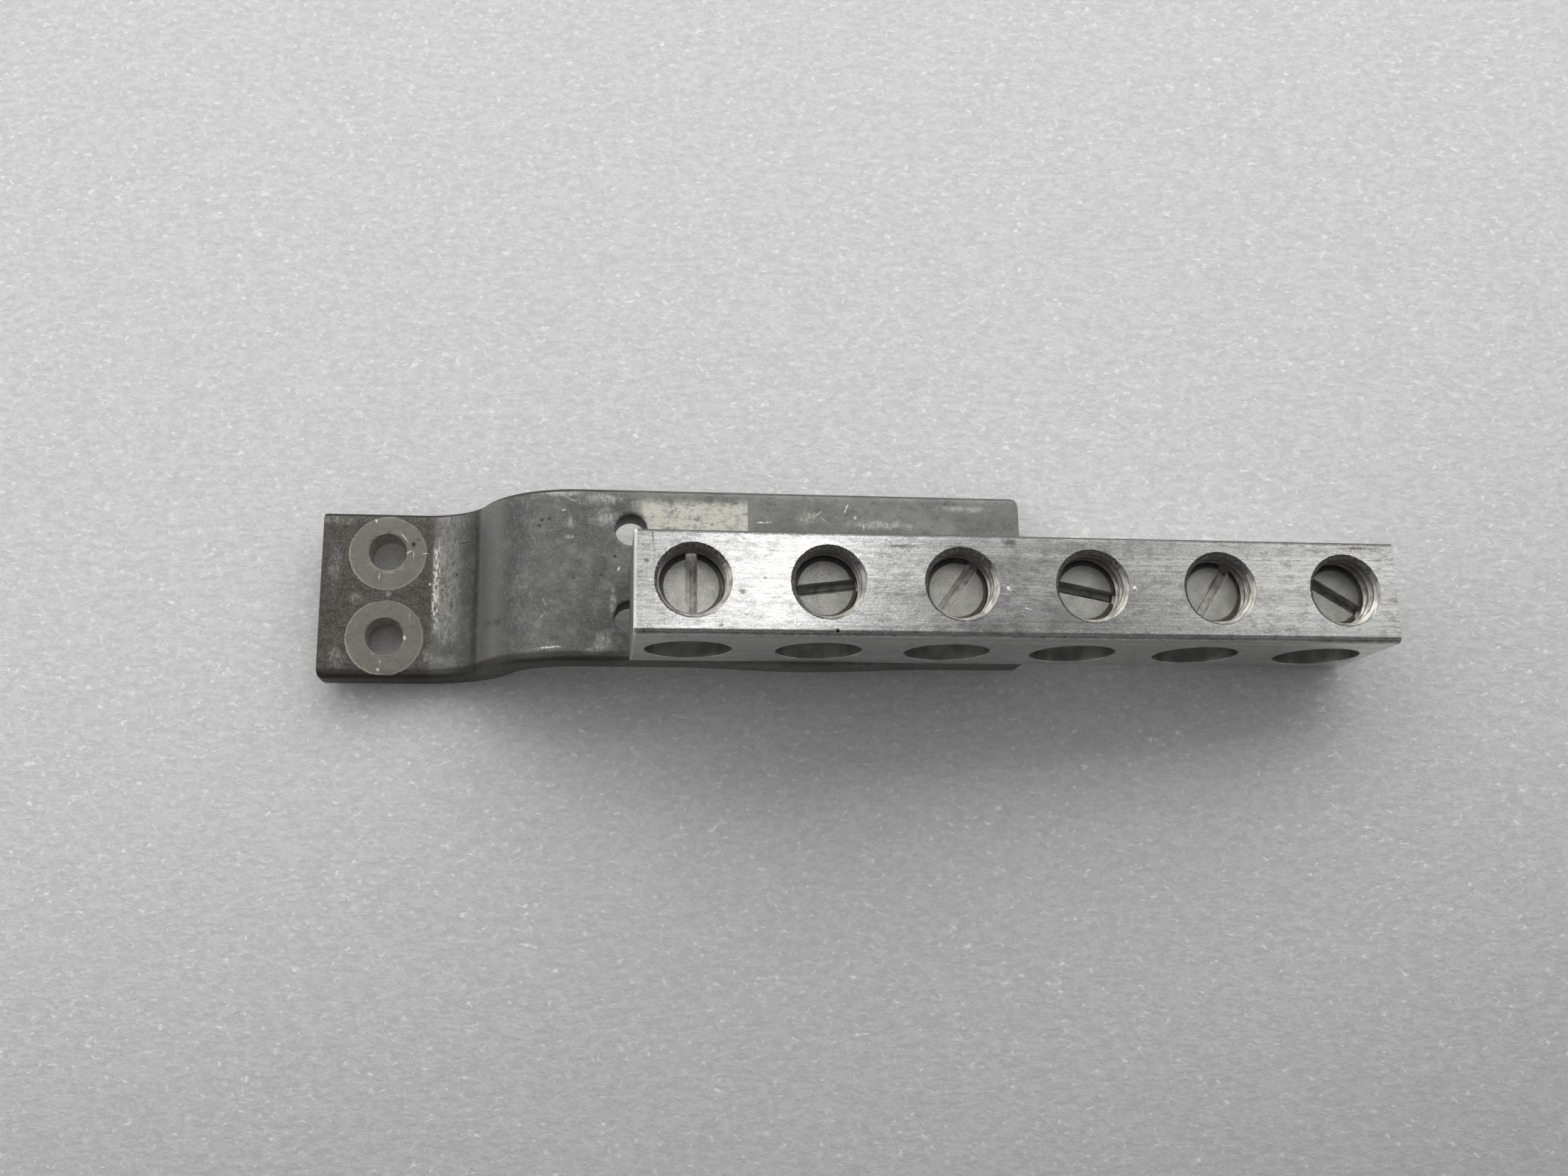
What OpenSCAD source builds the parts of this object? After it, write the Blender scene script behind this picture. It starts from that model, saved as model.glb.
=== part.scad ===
// Earth terminal bar: an extruded six-way bar with slotted set screws, carried on an offset bolt-down strap.
// Origin: midway between the two foot bolt holes, on the underside of the foot. +X runs along the bar,
// +Y across the strap, +Z up.

/* [Strap] */
// Thickness of the flat bar that the strap is bent from
strap_t = 6.35; // [4:0.05:8]
// From the bolt-hole line to the strap's front edge
front_edge = 15.8; // [12:0.1:20]
// From the bolt-hole line to the strap's back edge
back_edge = 15.5; // [12:0.1:20]
// Rounding along the strap's long edges
strap_edge_r = 1; // [0.4:0.1:1.8]
// Rounding of the strap's corners, seen from above
strap_corner_r = 1.2; // [0.5:0.1:3]
// From the foot's bolt holes to its free end
foot_end = 11.9; // [9:0.1:20]
// From the foot's bolt holes to the start of the lower bend
foot_flat = 6.3; // [5:0.1:20]
// Height that the plate is lifted above the foot
rise = 19.4; // [14:0.1:24]
// Inside radius of both bends
bend_r = 12.7; // [10:0.1:18]
// Straight stretch between the two bends
slope_len = 0.6; // [0.4:0.1:5]
// Length of the flat plate from the upper bend to its free end
plate_len = 79.8; // [68:0.1:110]
// How far the plate's front edge swells out beside the bar's fixing holes
edge_swell = 0.7; // [0.3:0.05:1.2]
// Half the length of that swelling
swell_half = 25; // [18:1:30]

/* [Strap holes] */
// Diameter of the two bolt holes in the foot
foot_hole_d = 6.7; // [5:0.05:8.5]
// Distance between the two bolt holes in the foot
foot_hole_gap = 16; // [13:0.05:18]
// Diameter of the smaller holes in the plate
plate_hole_d = 5.7; // [5.2:0.05:6.5]
// Distance between the pair of holes beside the bar's end
plate_hole_gap = 15.9; // [13:0.05:18]
// From the upper bend to that pair of holes
plate_hole_x = 9; // [5:0.1:12]

/* [Terminal bar] */
// Width of the bar across the strap
bar_w = 17.4; // [16:0.1:20]
// Height of the bar
bar_h = 24; // [23:0.1:28]
// Rounding along the bar's long edges
bar_edge_r = 0.7; // [0.3:0.1:1.5]
// From the upper bend to the near end of the bar
bar_start = 8.8; // [6:0.1:12]
// From the near end of the bar to its first terminal
near_margin = 9.6; // [8.5:0.1:15]
// From the last terminal to the far end of the bar
far_margin = 9.3; // [8.5:0.1:15]
// Distance from one terminal to the next
pitch = 22.225; // [20:0.025:26]
// Diameter of the wire holes that run across the bar
wire_d = 14.7; // [12:0.1:15]
// Height of the wire holes' axis above the bar's underside
wire_z = 10.8; // [9:0.1:12]

/* [Set screws] */
// Outer diameter of the set screws' thread
screw_d = 12.6; // [10:0.1:13]
// Length of a set screw
screw_len = 9.5; // [8:0.1:11]
// From the bar's front face to the line of the set screws
screw_line = 9; // [8:0.1:9.4]
// How far the set screws' tops sit below the bar's top
recess = 4.5; // [3:0.1:5]
// Diameter of the flat left inside the chamfer on a set screw's top
screw_flat_d = 9.2; // [7:0.1:9.6]
// Diameter of the flat on a set screw's tip
screw_tip_d = 9; // [6:0.1:9.6]
// Width of the driver slot
slot_w = 1.85; // [1:0.05:2.6]
// Depth of the driver slot
slot_depth = 3.2; // [1.5:0.1:4.5]

/* [Bar screws] */
// Diameter of the screws that hold the bar down to the strap
fix_d = 4.8; // [4:0.1:5]
// Depth that those screws reach into the bar
fix_reach = 9.5; // [6:0.1:12]
// Width across the flats of their hexagon heads
fix_head_w = 8; // [7:0.1:10]
// Height of the hexagon heads
fix_head_h = 3; // [2:0.1:4]
// Diameter of the flange under each head
fix_flange_d = 10.4; // [10:0.1:11]
// Thickness of that flange
fix_flange_t = 0.9; // [0.5:0.1:1.5]

/* [Clearances] */
// Radial gap between a screw's thread and its hole
thread_gap = 0.07; // [0.03:0.01:0.1]
// Depth left free below the end of a bar screw
tap_depth_gap = 1.2; // [0.5:0.1:3]

/* [Hidden] */
$fn = 96;
cut = 1;                                                // how far a cutting shape runs past the face it cuts
outer_r = bend_r + strap_t;
// The two bends and the slope between them add up to the rise.
bend_sum = bend_r + outer_r;
bend_deg = acos((bend_sum - rise) / norm([bend_sum, slope_len])) - atan2(slope_len, bend_sum);
bend_run = bend_sum * sin(bend_deg) + slope_len * cos(bend_deg);
plate_x = foot_flat + bend_run;
plate_z = rise;                                         // underside of the plate
bar_x = plate_x + bar_start;
bar_y = -front_edge;                                    // the bar is flush with the strap's front edge
bar_z = plate_z + strap_t;
ways = 6;                                               // terminals, each with its own set screw in NODES
bar_len = near_margin + pitch * (ways - 1) + far_margin;
first_x = bar_x + near_margin;
screw_y = bar_y + screw_line;
bar_mid_y = bar_y + bar_w / 2;
top_z = bar_z + bar_h;
// The screws aren't all run in to the same depth, nor stopped at the same turn.
recess_more = [0.4, 0, -0.1, -0.1, -0.3, 0.1];
slot_turn = [90, 7, 54, -11, 57, -31];
fix_webs = [1, 2];                                      // the webs between wire holes that take a bar screw
swell_x = first_x + pitch;
arc_steps = 4;                                          // steps round each rounded edge and corner
bend_steps = 16;
swell_steps = 20;
bar_colour = [0.80, 0.81, 0.82];
strap_colour = [0.46, 0.46, 0.45];
screw_colour = [0.62, 0.62, 0.60];
fix_colour = [0.66, 0.66, 0.64];

// A rectangle from the origin with its four corners rounded.
module round_rect(w, h, r) {
    translate([r, 0]) square([w - 2 * r, h]);
    translate([0, r]) square([w, h - 2 * r]);
    for (x = [r, w - r], y = [r, h - r]) translate([x, y]) circle(r);
}

// The strap's cross-section: [across, up] around a rounded rectangle, pulled in at both edges by inset
// and pushed out at the front by swell.
function strap_section(inset, swell) =
    let (back = back_edge - inset - strap_edge_r,
         front = strap_edge_r + inset - front_edge - swell,
         low = strap_edge_r,
         high = strap_t - strap_edge_r,
         centres = [[back, low], [back, high], [front, high], [front, low]])
    [for (quarter = [0:3], i = [0:arc_steps])
        let (turn = 90 * (quarter - 1 + i / arc_steps))
            centres[quarter] + strap_edge_r * [cos(turn), sin(turn)]];

// How far a corner of radius strap_corner_r draws the edge in at a distance d from the strap's end.
function corner_inset(d) = strap_corner_r - sqrt(max(0, 2 * strap_corner_r * d - d * d));

// The front edge's swelling at a distance d along X from its middle.
function swell_at(d) = edge_swell * pow(cos(90 * d / swell_half), 2);

// Stations along the strap, each [x and z of the underside, lean, inset, swell].
corner_d = [for (i = [0:arc_steps]) strap_corner_r * (1 - cos(90 * i / arc_steps))];
plate_end = plate_x + plate_len;
strap_stations = concat(
    [for (d = corner_d) [-foot_end + d, 0, 0, corner_inset(d), 0]],
    [for (i = [0:bend_steps]) let (a = bend_deg * i / bend_steps)
        [foot_flat + outer_r * sin(a), outer_r - outer_r * cos(a), a, 0, 0]],
    [for (i = [0:bend_steps]) let (a = bend_deg * (1 - i / bend_steps))
        [plate_x - bend_r * sin(a), plate_z - bend_r + bend_r * cos(a), a, 0, 0]],
    [for (i = [0:swell_steps]) let (d = swell_half * (2 * i / swell_steps - 1))
        [swell_x + d, plate_z, 0, 0, swell_at(d)]],
    [for (i = [arc_steps:-1:0]) [plate_end - corner_d[i], plate_z, 0, corner_inset(corner_d[i]), 0]]
);

// The strap as one length: foot, two bends, slope and plate, swept through its stations.
module strap_sweep() {
    ring = 4 * (arc_steps + 1);
    last = len(strap_stations) - 1;
    points = [for (st = strap_stations, p = strap_section(st[3], st[4]))
        [st[0] - p[1] * sin(st[2]), p[0], st[1] + p[1] * cos(st[2])]];
    sides = [for (i = [0:last - 1], k = [0:ring - 1]) let (n = (k + 1) % ring)
        [i * ring + k, i * ring + n, (i + 1) * ring + n, (i + 1) * ring + k]];
    polyhedron(points, concat(
        [[for (k = [ring - 1:-1:0]) k]],
        sides,
        [[for (k = [0:ring - 1]) last * ring + k]]
    ), convexity = 6);
}

module offset_strap() {
    color(strap_colour) difference() {
        strap_sweep();
        for (s = [-1, 1]) {
            translate([0, s * foot_hole_gap / 2, -cut]) cylinder(d = foot_hole_d, h = strap_t + 2 * cut);
            translate([plate_x + plate_hole_x, s * plate_hole_gap / 2, plate_z - cut])
                cylinder(d = plate_hole_d, h = strap_t + 2 * cut);
        }
        for (web = fix_webs) translate([web_x(web), bar_mid_y, plate_z - cut])
            cylinder(d = plate_hole_d, h = strap_t + 2 * cut);
    }
}

function port_x(way) = first_x + pitch * (way - 1);
function web_x(web) = port_x(web) + pitch / 2;
function screw_top(way) = top_z - recess - recess_more[way - 1];

// Each terminal is a wire hole across the bar, met from above by a tapped hole for its set screw.
module terminal_bar() {
    color(bar_colour) difference() {
        translate([bar_x, bar_y, bar_z]) rotate([90, 0, 90])
            linear_extrude(bar_len) round_rect(bar_w, bar_h, bar_edge_r);
        for (way = [1:ways]) {
            translate([port_x(way), bar_y - cut, bar_z + wire_z]) rotate([-90, 0, 0])
                cylinder(d = wire_d, h = bar_w + 2 * cut);
            translate([port_x(way), screw_y, bar_z + wire_z])
                cylinder(d = screw_d + 2 * thread_gap, h = bar_h - wire_z + cut);
        }
        for (web = fix_webs) translate([web_x(web), bar_mid_y, bar_z - cut])
            cylinder(d = fix_d + 2 * thread_gap, h = cut + fix_reach + tap_depth_gap);
    }
}

// A headless screw: chamfered top with a driver slot, chamfered flat tip.
module set_screw(way) {
    top_cham = (screw_d - screw_flat_d) / 2;
    tip_cham = (screw_d - screw_tip_d) / 2;
    color(screw_colour) translate([port_x(way), screw_y, screw_top(way) - screw_len]) difference() {
        union() {
            cylinder(d1 = screw_tip_d, d2 = screw_d, h = tip_cham);
            translate([0, 0, tip_cham]) cylinder(d = screw_d, h = screw_len - tip_cham - top_cham);
            translate([0, 0, screw_len - top_cham]) cylinder(d1 = screw_d, d2 = screw_flat_d, h = top_cham);
        }
        rotate([0, 0, slot_turn[way - 1]]) translate([-screw_d, -slot_w / 2, screw_len - slot_depth])
            cube([2 * screw_d, slot_w, slot_depth + cut]);
    }
}

// A flanged hexagon screw that comes up through the strap into the bar's underside.
module bar_screw(web) {
    color(fix_colour) translate([web_x(web), bar_mid_y, plate_z]) {
        cylinder(d = fix_d, h = strap_t + fix_reach);
        translate([0, 0, -fix_flange_t]) cylinder(d = fix_flange_d, h = fix_flange_t);
        translate([0, 0, -fix_flange_t - fix_head_h])
            cylinder(r = fix_head_w / 2 / cos(30), h = fix_head_h, $fn = 6);
    }
}

offset_strap();
terminal_bar();
set_screw(1);  // set_screw_1
set_screw(2);  // set_screw_2
set_screw(3);  // set_screw_3
set_screw(4);  // set_screw_4
set_screw(5);  // set_screw_5
set_screw(6);  // set_screw_6
bar_screw(fix_webs[0]);  // bar_screw_1
bar_screw(fix_webs[1]);  // bar_screw_2
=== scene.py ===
import math

import bmesh
import bpy
from mathutils import Matrix, Vector, noise


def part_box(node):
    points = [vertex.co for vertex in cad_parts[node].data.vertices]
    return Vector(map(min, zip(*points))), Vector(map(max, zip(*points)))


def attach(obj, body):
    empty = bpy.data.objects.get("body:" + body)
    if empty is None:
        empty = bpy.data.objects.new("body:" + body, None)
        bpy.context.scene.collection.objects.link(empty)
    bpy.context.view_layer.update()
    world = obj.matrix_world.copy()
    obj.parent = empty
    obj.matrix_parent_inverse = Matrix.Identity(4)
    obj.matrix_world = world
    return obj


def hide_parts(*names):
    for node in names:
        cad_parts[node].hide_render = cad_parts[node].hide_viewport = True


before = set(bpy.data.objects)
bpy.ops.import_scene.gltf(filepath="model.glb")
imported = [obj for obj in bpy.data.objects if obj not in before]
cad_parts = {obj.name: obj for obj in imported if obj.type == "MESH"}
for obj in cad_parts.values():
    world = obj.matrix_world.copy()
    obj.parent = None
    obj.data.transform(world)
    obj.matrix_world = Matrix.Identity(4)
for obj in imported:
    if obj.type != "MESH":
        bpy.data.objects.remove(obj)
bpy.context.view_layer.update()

# An earth terminal bar: a bent strap, an aluminium bar with six ports, its six set screws and the two
# screws that hold the bar. Each piece replaces one solid of the source and keeps its size.

MM = 0.001
BODY = "bar_on_strap"

# ---------------------------------------------------------------- sizes, in metres

STRAP_LOW, STRAP_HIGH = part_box("offset_strap")
BAR_LOW, BAR_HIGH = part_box("terminal_bar")
SCREW_NODES = [f"set_screw_{i}" for i in range(1, 7)]
FIX_NODES = ["bar_screw_1", "bar_screw_2"]

STRAP_T = 6.35 * MM
STRAP_FRONT = -15.8 * MM
EDGE_SWELL = STRAP_FRONT - STRAP_LOW.y
SWELL_X = 76.18 * MM
SWELL_HALF = 25 * MM
STRAP_EDGE_R = 1.0 * MM
STRAP_CORNER_R = 1.2 * MM
FOOT_BACK_R = 0.4 * MM
FOOT_FLAT = 6.3 * MM
BEND_INNER = 12.7 * MM
BEND_OUTER = BEND_INNER + STRAP_T
BEND_ANGLE = math.radians(66.03)
PLATE_X = 35.556 * MM
PLATE_Z = STRAP_HIGH.z - STRAP_T
FOOT_HOLE_R = 3.35 * MM
PLATE_HOLE_R = 2.85 * MM
STRAP_HOLE_RIM = 0.25 * MM
FOOT_HOLES = [(0.0, 8.0 * MM), (0.0, -8.0 * MM)]
PLATE_HOLES = [(44.556 * MM, 7.95 * MM), (44.556 * MM, -7.95 * MM)]
WASHER_R = 7.05 * MM
MARK_SHIFT = 0.15                       # mm toward the front, from a foot hole to its marks

BAR_EDGE_R = 1.0 * MM
BAR_BACK_R = 0.45 * MM
BAR_END_CHAMFER = 0.12 * MM
WIRE_R = 7.35 * MM
WIRE_Z = BAR_LOW.z + 10.8 * MM
WIRE_RIM = 0.15 * MM
THREAD_PITCH = 25.4 / 13 * MM
TAP_MAJOR_R = 6.42 * MM
TAP_MINOR_R = 5.52 * MM
TAP_CREST, TAP_ROOT = 0.13, 0.25        # widths as shares of the pitch
MOUTH_CHAMFER = 0.10 * MM
MOUTH_RIPPLE = 0.09 * MM
LEAD_IN_R = TAP_MINOR_R - 0.13 * MM
LEAD_IN_DEPTH = 0.67 * MM
FIX_HOLE_R = 2.47 * MM
FIX_HOLE_DEPTH = 10.7 * MM

SCREW_MAJOR_R = 6.28 * MM
SCREW_MINOR_R = 5.2 * MM
SCREW_CREST, SCREW_ROOT = 0.11, 0.25    # widths as shares of the pitch
SCREW_FLAT_R = 4.6 * MM
SCREW_CHAMFER = 0.45                    # the chamfer's fall over its width
SCREW_TIP_R = 4.5 * MM
SLOT_W = 1.85 * MM
SLOT_DEPTH = 3.2 * MM
SLOT_RISE = 0.45 * MM                   # from the floor of the groove to the slot's
SLOT_LIP = 0.1 * MM                     # half of the groove's width, and the chamfer at the slot's mouth
SLOT_TURNS = [90, 7, 54, -11, 57, -31]  # degrees

FIX_HALF_HEX = 4.0 * MM                 # half of the width across flats
FIX_FLANGE_T = 0.9 * MM
FIX_SHANK_R = 2.4 * MM

FLOOR_R = 0.7
FLOOR_SPOT = (40, -40, 0)               # mm, the middle of the floor's pale part
FLOOR_FADE = (250, 520)                 # mm from there, where the floor fades out
RIPPLE_ROUND = 26                       # the radius, in noise units, of the circle that a ring reads
RIPPLE_ALONG = 900                      # noise units per metre along X, so that no two rings are alike
FACING = 0.9                            # a face looks along an axis if its normal goes this far along it
FLAT = 0.999                            # a face is square to an axis if its normal goes this far along it


# ---------------------------------------------------------------- meshes

def link(name, verts, faces, smooth=True):
    mesh = bpy.data.meshes.new(name)
    mesh.from_pydata([tuple(v) for v in verts], [], faces)
    mesh.polygons.foreach_set("use_smooth", [smooth] * len(mesh.polygons))
    mesh.update()
    piece = bpy.data.objects.new(name, mesh)
    bpy.context.scene.collection.objects.link(piece)
    return piece


def outward(piece):
    """Turns all faces outward."""
    bm = bmesh.new()
    bm.from_mesh(piece.data)
    bmesh.ops.recalc_face_normals(bm, faces=bm.faces)
    bm.to_mesh(piece.data)
    bm.free()


def rings_to_faces(rows, ring):
    """The faces between rows of ring vertices each, closed by a flat face at each end."""
    faces = [list(range(ring))]
    for row in range(rows - 1):
        for i in range(ring):
            j = (i + 1) % ring
            faces.append([row * ring + i, row * ring + j, (row + 1) * ring + j, (row + 1) * ring + i])
    faces.append(list(range((rows - 1) * ring, rows * ring)))
    return faces


def lathe(name, profile, centre, axis=(0, 0, 1), segments=128, ripple=0.0):
    """A turned solid about an axis through centre, from (radius, height) points, with flat ends.
    Its rings are uneven by up to ripple."""
    turn = Vector((0, 0, 1)).rotation_difference(Vector(axis)).to_matrix()
    verts = []
    for even_radius, height in profile:
        for i in range(segments):
            a = 2 * math.pi * i / segments
            spot = (RIPPLE_ROUND * math.cos(a), RIPPLE_ROUND * math.sin(a), RIPPLE_ALONG * centre[0])
            radius = even_radius + ripple * noise.noise(Vector(spot))
            point = Vector((radius * math.cos(a), radius * math.sin(a), height))
            verts.append(turn @ point + Vector(centre))
    piece = link(name, verts, rings_to_faces(len(profile), segments))
    for end in (0, len(piece.data.polygons) - 1):
        piece.data.polygons[end].use_smooth = False
    outward(piece)
    return piece


def threaded_rod(name, centre, low, high, major, minor, crest, root, segments=72):
    """A right-hand threaded rod from below low to above high. Its thread starts from the bar's top face.
    Crest and root are widths as shares of the pitch."""
    profile = [(-crest / 2, major), (crest / 2, major), (0.5 - root / 2, minor), (0.5 + root / 2, minor)]
    first = math.floor((low - BAR_HIGH.z) / THREAD_PITCH) - 1
    turns = math.ceil((high - low) / THREAD_PITCH) + 2
    count = turns * segments
    row = len(profile)
    verts = []
    for k in range(count + 1):
        a = 2 * math.pi * k / segments
        for along, radius in profile:
            z = BAR_HIGH.z + THREAD_PITCH * (first + k / segments + along)
            verts.append((centre[0] + radius * math.cos(a), centre[1] + radius * math.sin(a), z))
    faces = []
    for k in range(count):
        here, there = k * row, (k + 1) * row
        for p in range(row - 1):
            faces.append([here + p, there + p, there + p + 1, here + p + 1])
        if k + segments < count:
            turn_up = segments * row
            faces.append([here + row - 1, there + row - 1, there + turn_up, here + turn_up])
    bottom = [k * row for k in range(segments + 1)] + list(range(row - 1, 0, -1))
    top = [k * row + row - 1 for k in range(count - segments, count + 1)]
    top += [count * row + p for p in range(row - 2, -1, -1)]
    for loop, height in ((bottom, verts[0][2] - THREAD_PITCH), (top, verts[-1][2] + THREAD_PITCH)):
        hub = len(verts)
        verts.append((centre[0], centre[1], height))
        for i, v in enumerate(loop):
            faces.append([v, loop[(i + 1) % len(loop)], hub])
    rod = link(name, verts, faces)
    outward(rod)
    return rod


def prism(name, outline, turn, centre, half):
    """A straight bar of the cross-section outline, turned about Z, reaching half its length each way."""
    rotate = Matrix.Rotation(turn, 3, "Z")
    verts = []
    for along in (-half, half):
        verts += [rotate @ Vector((along, y, z)) + Vector(centre) for y, z in outline]
    piece = link(name, verts, rings_to_faces(2, len(outline)), smooth=False)
    outward(piece)
    return piece


def carve(piece, others, operation="DIFFERENCE"):
    """Cuts the others away from piece, or joins or intersects it with them, and deletes them."""
    for other in others:
        modifier = piece.modifiers.new("carve", "BOOLEAN")
        modifier.object = other
        modifier.operation = operation
        modifier.solver = "EXACT"
        modifier.material_mode = "TRANSFER"
        graph = bpy.context.evaluated_depsgraph_get()
        result = bpy.data.meshes.new_from_object(piece.evaluated_get(graph))
        piece.modifiers.clear()
        piece.data = result
        bpy.data.objects.remove(other)
    piece.data.name = piece.name


def paint(piece, *materials):
    piece.data.materials.clear()
    for material in materials:
        piece.data.materials.append(material)


def crisp(piece, degrees=32):
    """Keeps the edges that turn by more than that many degrees sharp in the shading."""
    piece.data.set_sharp_from_angle(angle=math.radians(degrees))


def middle(node):
    """The middle of a node's box, seen from above."""
    low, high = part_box(node)
    return (low.x + high.x) / 2, (low.y + high.y) / 2


def place(piece, body, slot, *nodes):
    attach(piece, body)
    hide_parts(*nodes)


# ---------------------------------------------------------------- shader nodes

class Shader:
    """A material and short names for the nodes that it is made of. Its positions are in millimetres."""

    def __init__(self, name):
        self.material = bpy.data.materials.new(name)
        self.material.use_nodes = True
        self.tree = self.material.node_tree
        self.bsdf = self.tree.nodes["Principled BSDF"]
        coords = self.tree.nodes.new("ShaderNodeTexCoord")
        self.mm = self.vector("MULTIPLY", coords.outputs["Object"], (1000, 1000, 1000))

    def set(self, socket, value):
        """Links the value to the socket if it comes from a node, and otherwise writes it there."""
        if isinstance(value, bpy.types.NodeSocket):
            self.tree.links.new(value, socket)
        else:
            socket.default_value = value

    def add(self, kind, inputs, out=0, **settings):
        node = self.tree.nodes.new(kind)
        for key, value in settings.items():
            setattr(node, key, value)
        for key, value in inputs.items():
            self.set(node.inputs[key], value)
        return node.outputs[out]

    def vector(self, operation, a, b):
        return self.add("ShaderNodeVectorMath", {0: a, 1: b}, operation=operation)

    def length(self, vector):
        return self.add("ShaderNodeVectorMath", {0: vector}, out="Value", operation="LENGTH")

    def math(self, operation, a, b=0.0):
        return self.add("ShaderNodeMath", {0: a, 1: b}, operation=operation)

    def times(self, *factors):
        product = factors[0]
        for factor in factors[1:]:
            product = self.math("MULTIPLY", product, factor)
        return product

    def any_of(self, masks):
        """The greatest of the masks at each place."""
        total = masks[0]
        for mask in masks[1:]:
            total = self.math("MAXIMUM", total, mask)
        return total

    def split(self, vector):
        node = self.tree.nodes.new("ShaderNodeSeparateXYZ")
        self.set(node.inputs[0], vector)
        return node.outputs

    def noise(self, stretch, detail=3.0, rough=0.55, shift=(0, 0, 0), distortion=0.0):
        """Noise of about 0 to 1, whose features are about stretch millimetres along X, Y and Z."""
        scaled = self.vector("DIVIDE", self.vector("ADD", self.mm, shift), stretch)
        return self.add("ShaderNodeTexNoise", {"Vector": scaled, "Scale": 1.0, "Detail": detail,
                                               "Roughness": rough, "Distortion": distortion})

    def centred(self, value, reach):
        """Noise of 0 to 1 as a number that goes both ways from 0, over reach in all."""
        return self.times(self.math("SUBTRACT", value, 0.5), reach)

    def shifted(self, value, ragged, share=1.0):
        """The value with that share of ragged added, so that a straight limit on it turns ragged."""
        return self.math("ADD", value, self.times(ragged, share))

    def step(self, value, low, high, to_low=0.0, to_high=1.0):
        """Goes smoothly from to_low to to_high while value goes from low to high."""
        return self.add("ShaderNodeMapRange", {"Value": value, "From Min": low, "From Max": high,
                                               "To Min": to_low, "To Max": to_high},
                        interpolation_type="SMOOTHSTEP")

    def between(self, value, rise, fall):
        """Goes from 0 to 1 over the two numbers of rise, and back to 0 over those of fall."""
        return self.times(self.step(value, *rise), self.step(value, *fall, 1.0, 0.0))

    def mark(self, x, y, half_length, half_width, turn=0.0, soft=0.5, ragged=None):
        """1 on an ellipse seen from above, turned by degrees. It fades out over its outer share soft."""
        away = self.vector("SUBTRACT", self.mm, (x, y, 0))
        turned = self.add("ShaderNodeVectorRotate", {"Vector": away, "Angle": -math.radians(turn)},
                          rotation_type="Z_AXIS")
        any_height = 1e6
        far = self.length(self.vector("DIVIDE", turned, (half_length, half_width, any_height)))
        if ragged is not None:
            far = self.math("ADD", far, ragged)
        return self.step(far, 1 - soft, 1, 1.0, 0.0)

    def marks(self, places, ragged=None):
        """1 on any of the marks in places."""
        return self.any_of([self.mark(*place, ragged=ragged) for place in places])

    def blend(self, factor, a, b):
        """Goes from colour a to colour b as factor goes from 0 to 1."""
        node = self.tree.nodes.new("ShaderNodeMix")
        node.data_type = "RGBA"
        factor_in, a_in, b_in, colour_out = 0, 6, 7, 2
        for key, value in ((factor_in, factor), (a_in, a), (b_in, b)):
            self.set(node.inputs[key], (*value, 1.0) if isinstance(value, tuple) else value)
        return node.outputs[colour_out]

    def bump(self, height, depth, normal=None):
        """Raises the surface by height times depth millimetres."""
        inputs = {"Height": height, "Distance": depth * MM, "Strength": 1.0}
        if normal is not None:
            inputs["Normal"] = normal
        return self.add("ShaderNodeBump", inputs)

    def finish(self, colour, roughness, normal, metallic=1.0):
        self.set(self.bsdf.inputs["Base Color"], colour)
        self.set(self.bsdf.inputs["Roughness"], roughness)
        self.set(self.bsdf.inputs["Normal"], normal)
        self.set(self.bsdf.inputs["Metallic"], metallic)
        return self.material


# ---------------------------------------------------------------- materials of the bar and the screws

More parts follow.
